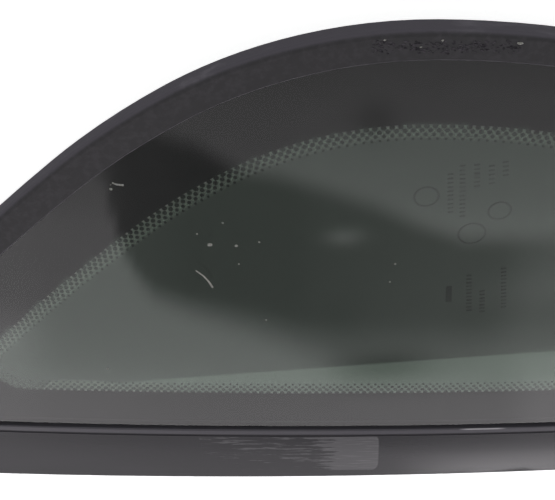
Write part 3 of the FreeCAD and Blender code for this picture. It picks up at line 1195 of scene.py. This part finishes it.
@dataclass
class BarCover:
    """Straight bar: its satin cover, the rail under it and the bond to the pane."""

    finish: SatinTrimPlastic = field(default_factory=SatinTrimPlastic)
    rail: RailNylon = field(default_factory=RailNylon)
    bond: SetAdhesive = field(default_factory=SetAdhesive)

    def build(self) -> None:
        """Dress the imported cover, rail and bond."""
        dress("bar_trim", self.finish.make())
        dress("bar_rail", self.rail.make())
        dress("glass_bond", self.bond.make())


def ramp(value: np.ndarray, low: float, high: float) -> np.ndarray:
    """Rise smoothly from 0 at the low value to 1 at the high one."""
    share = np.clip((value - low) / (high - low), 0, 1)
    return share * share * (3 - 2 * share)


@dataclass
class WallLight:
    """Brightness over the soft wall: bright, with a dark slanting band, and a glare low on the right.

    Places on it are millimetres: s across the wall towards +X, and t up it. A station is a place and
    what a curve has there. A spot is its s and t, its two half widths, and how much light it adds.
    """

    sky_level: float
    half_width: float = 950.0
    half_height: float = 700.0
    rim: float = 90.0
    upright: tuple = ((-240, 1.45), (-200, 1.35), (-155, 1.25), (-100, 1.2), (25, 1.2), (60, 1.05),
                      (100, 0.98), (140, 0.9), (200, 0.85), (250, 0.75), (300, 0.65))
    band_top: tuple = ((-230, 175), (-140, 165), (-80, 148), (-20, 112), (41, 100), (102, 80), (163, 58),
                       (224, 28), (286, 3), (349, 0), (450, -5))
    band_floor: tuple = ((-230, 120), (-200, 85), (-185, 15), (-165, -32), (-150, -58), (-130, -80),
                         (-85, -97), (-25, -114), (35, -135), (75, -152), (110, -160), (226, -157),
                         (253, -150), (294, -140), (336, -120), (378, -100))
    band_level: tuple = ((-200, 0.36), (-140, 0.34), (-80, 0.27), (50, 0.28), (90, 0.33), (150, 0.37),
                         (335, 0.46), (377, 0.62), (405, 0.7))
    band_softness: tuple = ((-150, 25), (90, 50), (150, 90))
    spots: tuple = ((122, 12, 25, 12, 0.5), (163, 184, 30, 30, -0.27), (180, -192, 75, 26, -0.62))
    low_level: float = 1.15
    glare: float = 3.8

    def level(self, s: np.ndarray, t: np.ndarray) -> np.ndarray:
        """Brightness at each place, where 1 is white.

        Args:
            s: places across the wall.
            t: places up the wall.

        Returns:
            Brightness, which fades into the sky's at the rim.
        """
        level = curve(t, self.upright)
        level = level + ramp(-s, 250, 330) * (0.1 + 0.4 * np.exp(-((t + 165) / 50) ** 2))
        level = level + 0.15 * ramp(-s, 0, 300) * ramp(-t, 180, 220)
        inside = ramp(curve(s, self.band_top) - t, -22, 22) * ramp(s, -262, -165)
        inside = inside * ramp((t - curve(s, self.band_floor)) / curve(s, self.band_softness), -1, 1)
        level = level + (curve(s, self.band_level) - level) * inside
        for spot_s, spot_t, wide, high, light in self.spots:
            level = level + light * np.exp(-((s - spot_s) / wide) ** 2 - ((t - spot_t) / high) ** 2)
        dimmed = ramp(s, 80, 140) * ramp(-t, 70, 130) * (1 - 1.1 * ramp(-t, 215, 250))
        level = level - dimmed * (0.14 + 0.2 * ramp(s, 220, 330))
        level = level + 0.3 * ramp(s, 330, 400) * ramp(-t, 165, 200)
        glare = self.glare * ramp(s, 205, 295) * (1 - ramp(s, 480, 600)) * (1 - ramp(-t, 510, 580))
        level = level + (self.low_level + glare - level) * ramp(-t, 320, 465)
        inwards = ramp(np.minimum(self.half_width - np.abs(s), self.half_height - np.abs(t)), 0, self.rim)
        return self.sky_level + (level - self.sky_level) * inwards * (1 - 0.6 * ramp(-t, 520, 600))


@dataclass
class Studio:
    """Pale floor, even sky and one wide soft wall that the glass mirrors; seen through the pane, the floor
    shows a painted shadow and a painted band of light.
    """

    sheet: Sheet
    floor_size: float = 6.0
    floor_colour: str = "#e6e6e6"
    sky_level: float = 0.62
    white_lift: float = 0.8
    wall_distance: float = 1.0
    wall_lean: float = 47.0
    wall_cells: int = 160
    wall_colour: tuple = (1.0, 0.965, 0.995, 1.0)
    # Slope, point and softness of the slanting line between the painted shadow and the painted band of light
    # that the pane shows on the floor.
    painted_shadow_edge_slope: float = 0.118
    painted_shadow_edge_point: Plan = (9.0, -66.0)
    painted_shadow_edge_soft: float = 0.4
    floor_drop: float = 0.05
    # Brightness of the painted shadow and of the painted band of light, seen through the pane.
    painted_shadow_level: float = 0.04
    painted_light_level: float = 0.162

    def floor(self) -> None:
        """Lay the floor; its white lift is for the eye only, and keeps the window's shadow. Seen through the
        pane it shows painted light instead: a painted shadow of the window above a slanting line, and a
        painted band of lit floor below it.
        """
        material = empty_material("pale_floor_paper")
        tree = material.node_tree
        paper = add(tree, "BsdfDiffuse", {"Color": linear(self.floor_colour)})
        path = add(tree, "LightPath").outputs
        lift = calc(tree, "MULTIPLY", path["Is Camera Ray"], self.white_lift)
        glow = add(tree, "Emission", {"Color": WHITE}, {"Strength": lift})
        seen = add(tree, "AddShader", links={0: paper.outputs[0], 1: glow.outputs[0]})
        place = add(tree, "TexCoord").outputs["Object"]
        # Painted shadow and light: rays through the pane see the floor glow dark above a slanting line and
        # bright below it, in place of the window's real shadow on the floor.
        apart = add(tree, "SeparateXYZ", links={0: place}).outputs
        level = calc(tree, "ADD", apart["Y"], calc(tree, "MULTIPLY", apart["X"], -self.painted_shadow_edge_slope))
        x, y = (self.sheet.apex[axis] + self.painted_shadow_edge_point[axis] * MM for axis in (0, 1))
        start = y - self.painted_shadow_edge_slope * x
        soft = self.painted_shadow_edge_soft * MM
        strength = spread(tree, level, start - soft, start + soft, self.painted_light_level, self.painted_shadow_level)
        painted_shadow_and_light = add(tree, "Emission", {"Color": WHITE}, {"Strength": strength})
        mixed = mix_shaders(tree, path["Is Transmission Ray"], seen, painted_shadow_and_light)
        finish_with(tree, mixed.outputs[0])
        self.stage_plane("floor", Matrix.Translation((0, 0, -self.floor_drop * MM)), self.floor_size / 2,
                         self.floor_size / 2, material, 1)

    def stage_plane(self, name: str, place: Matrix, half_width: float, half_height: float,
                    material: Material, cells: int) -> Piece:
        """Make one flat stage piece, divided into cells.

        Args:
            name: name of the piece.
            place: where it stands and how it is turned.
            half_width: half its width in metres.
            half_height: half its height in metres.
            material: its material.
            cells: divisions along each side.

        Returns:
            The new object.
        """
        points = [(x, y, 0.0) for y in np.linspace(-half_height, half_height, cells + 1)
                  for x in np.linspace(-half_width, half_width, cells + 1)]
        piece = link_mesh(name, points, grid_faces(cells, cells), material)
        piece.matrix_world = place
        return piece

    def sky(self) -> None:
        """Light everything evenly; the eye sees plain white behind the floor's edge."""
        world = bpy.data.worlds.new("even_sky")
        bpy.context.scene.world = world
        world.use_nodes = True
        tree = world.node_tree
        tree.nodes.clear()
        even = add(tree, "Background", {"Color": WHITE, "Strength": self.sky_level})
        white = add(tree, "Background", {"Color": WHITE, "Strength": 1.0})
        mixed = mix_shaders(tree, add(tree, "LightPath").outputs["Is Camera Ray"], even, white)
        add(tree, "OutputWorld", links={"Surface": mixed.outputs[0]})

    def wall(self) -> None:
        """Stand the soft wall where the pane mirrors it: bright, with a soft dark slanting band."""
        material = empty_material("soft_wall_light")
        tree = material.node_tree
        level = add(tree, "Attribute", attribute_name="level")
        glow = add(tree, "Emission", {"Color": self.wall_colour}, {"Strength": level.outputs["Fac"]})
        finish_with(tree, glow.outputs[0])
        lean = math.radians(self.wall_lean)
        out = Vector((0, -math.cos(lean), math.sin(lean)))
        side = Vector((1, 0, 0))
        up = Vector((0, math.sin(lean), math.cos(lean)))
        turn = Matrix((side, up, side.cross(up))).transposed().to_4x4()
        place = Matrix.Translation(self.sheet.apex + out * self.wall_distance) @ turn
        light = WallLight(self.sky_level)
        wall = self.stage_plane("soft_wall", place, light.half_width * MM, light.half_height * MM, material,
                                self.wall_cells)
        spots = np.array([v.co for v in wall.data.vertices]) / MM
        set_values(wall, "level", light.level(spots[:, 0], spots[:, 1]))
        wall.visible_camera = False

    def build(self) -> None:
        """Set the floor, the sky and the wall."""
        self.floor()
        self.sky()
        self.wall()
        bpy.context.scene.view_settings.view_transform = "Standard"


@dataclass
class PhotoCamera:
    """Camera at the photograph's viewing angle: over the arch, looking down on the outer face."""

    sheet: Sheet
    stand: tuple = (-9.066, 192.29, 203.66)
    tilt: float = 43.3255
    swing: float = -2.5488
    roll: float = 2.1983
    focal_pixels: float = 1103.115
    photo_width: float = 555.0
    sensor: float = 36.0

    def build(self) -> Piece:
        """Place the camera and make it the scene's."""
        tilt, swing, roll = (math.radians(a) for a in (self.tilt, self.swing, self.roll))
        back = Vector((math.sin(swing) * math.cos(tilt), -math.cos(swing) * math.cos(tilt), math.sin(tilt)))
        right = Vector((math.cos(swing), math.sin(swing), 0))
        up = back.cross(right)
        side, rise = math.cos(roll), math.sin(roll)
        axes = (right * side + up * rise, up * side - right * rise, back)
        turned = [Vector((v.x, v.z, -v.y)) for v in axes]
        data = bpy.data.cameras.new("photo_camera")
        data.sensor_fit = "HORIZONTAL"
        data.sensor_width = self.sensor
        data.lens = self.focal_pixels / self.photo_width * self.sensor
        data.clip_start = 0.01
        camera = bpy.data.objects.new("photo_camera", data)
        place = self.sheet.apex + Vector(self.stand) * MM
        camera.matrix_world = Matrix.Translation(place) @ Matrix(turned).transposed().to_4x4()
        bpy.context.scene.collection.objects.link(camera)
        bpy.context.scene.camera = camera
        return camera


def main() -> None:
    """Build the window's looks, the studio and the camera."""
    logging.basicConfig(level=logging.INFO)
    sheet = Sheet()
    arch = ArchLine()
    enamel = FiredEnamel().make()
    TintedPane(sheet, arch).build()
    dress("border_print", enamel)
    dots = DotFade(sheet, arch, enamel)
    dots.build()
    HazeBand(sheet, dots, MilkyFilm().make()).build()
    BorderMarks(sheet, enamel).build()
    chalk = DriedDeposit("dried_chalk", "#a3a39f", "#7a7974").make()
    soil = DriedDeposit("dried_sealant_crumbs", "#49464b", "#2a282c", 0.9).make()
    SurfaceWear(sheet, chalk, soil).build()
    EdgeMoulding().build()
    BarCover().build()
    Studio(sheet).build()
    PhotoCamera(sheet).build()


if __name__ == "__main__":
    main()
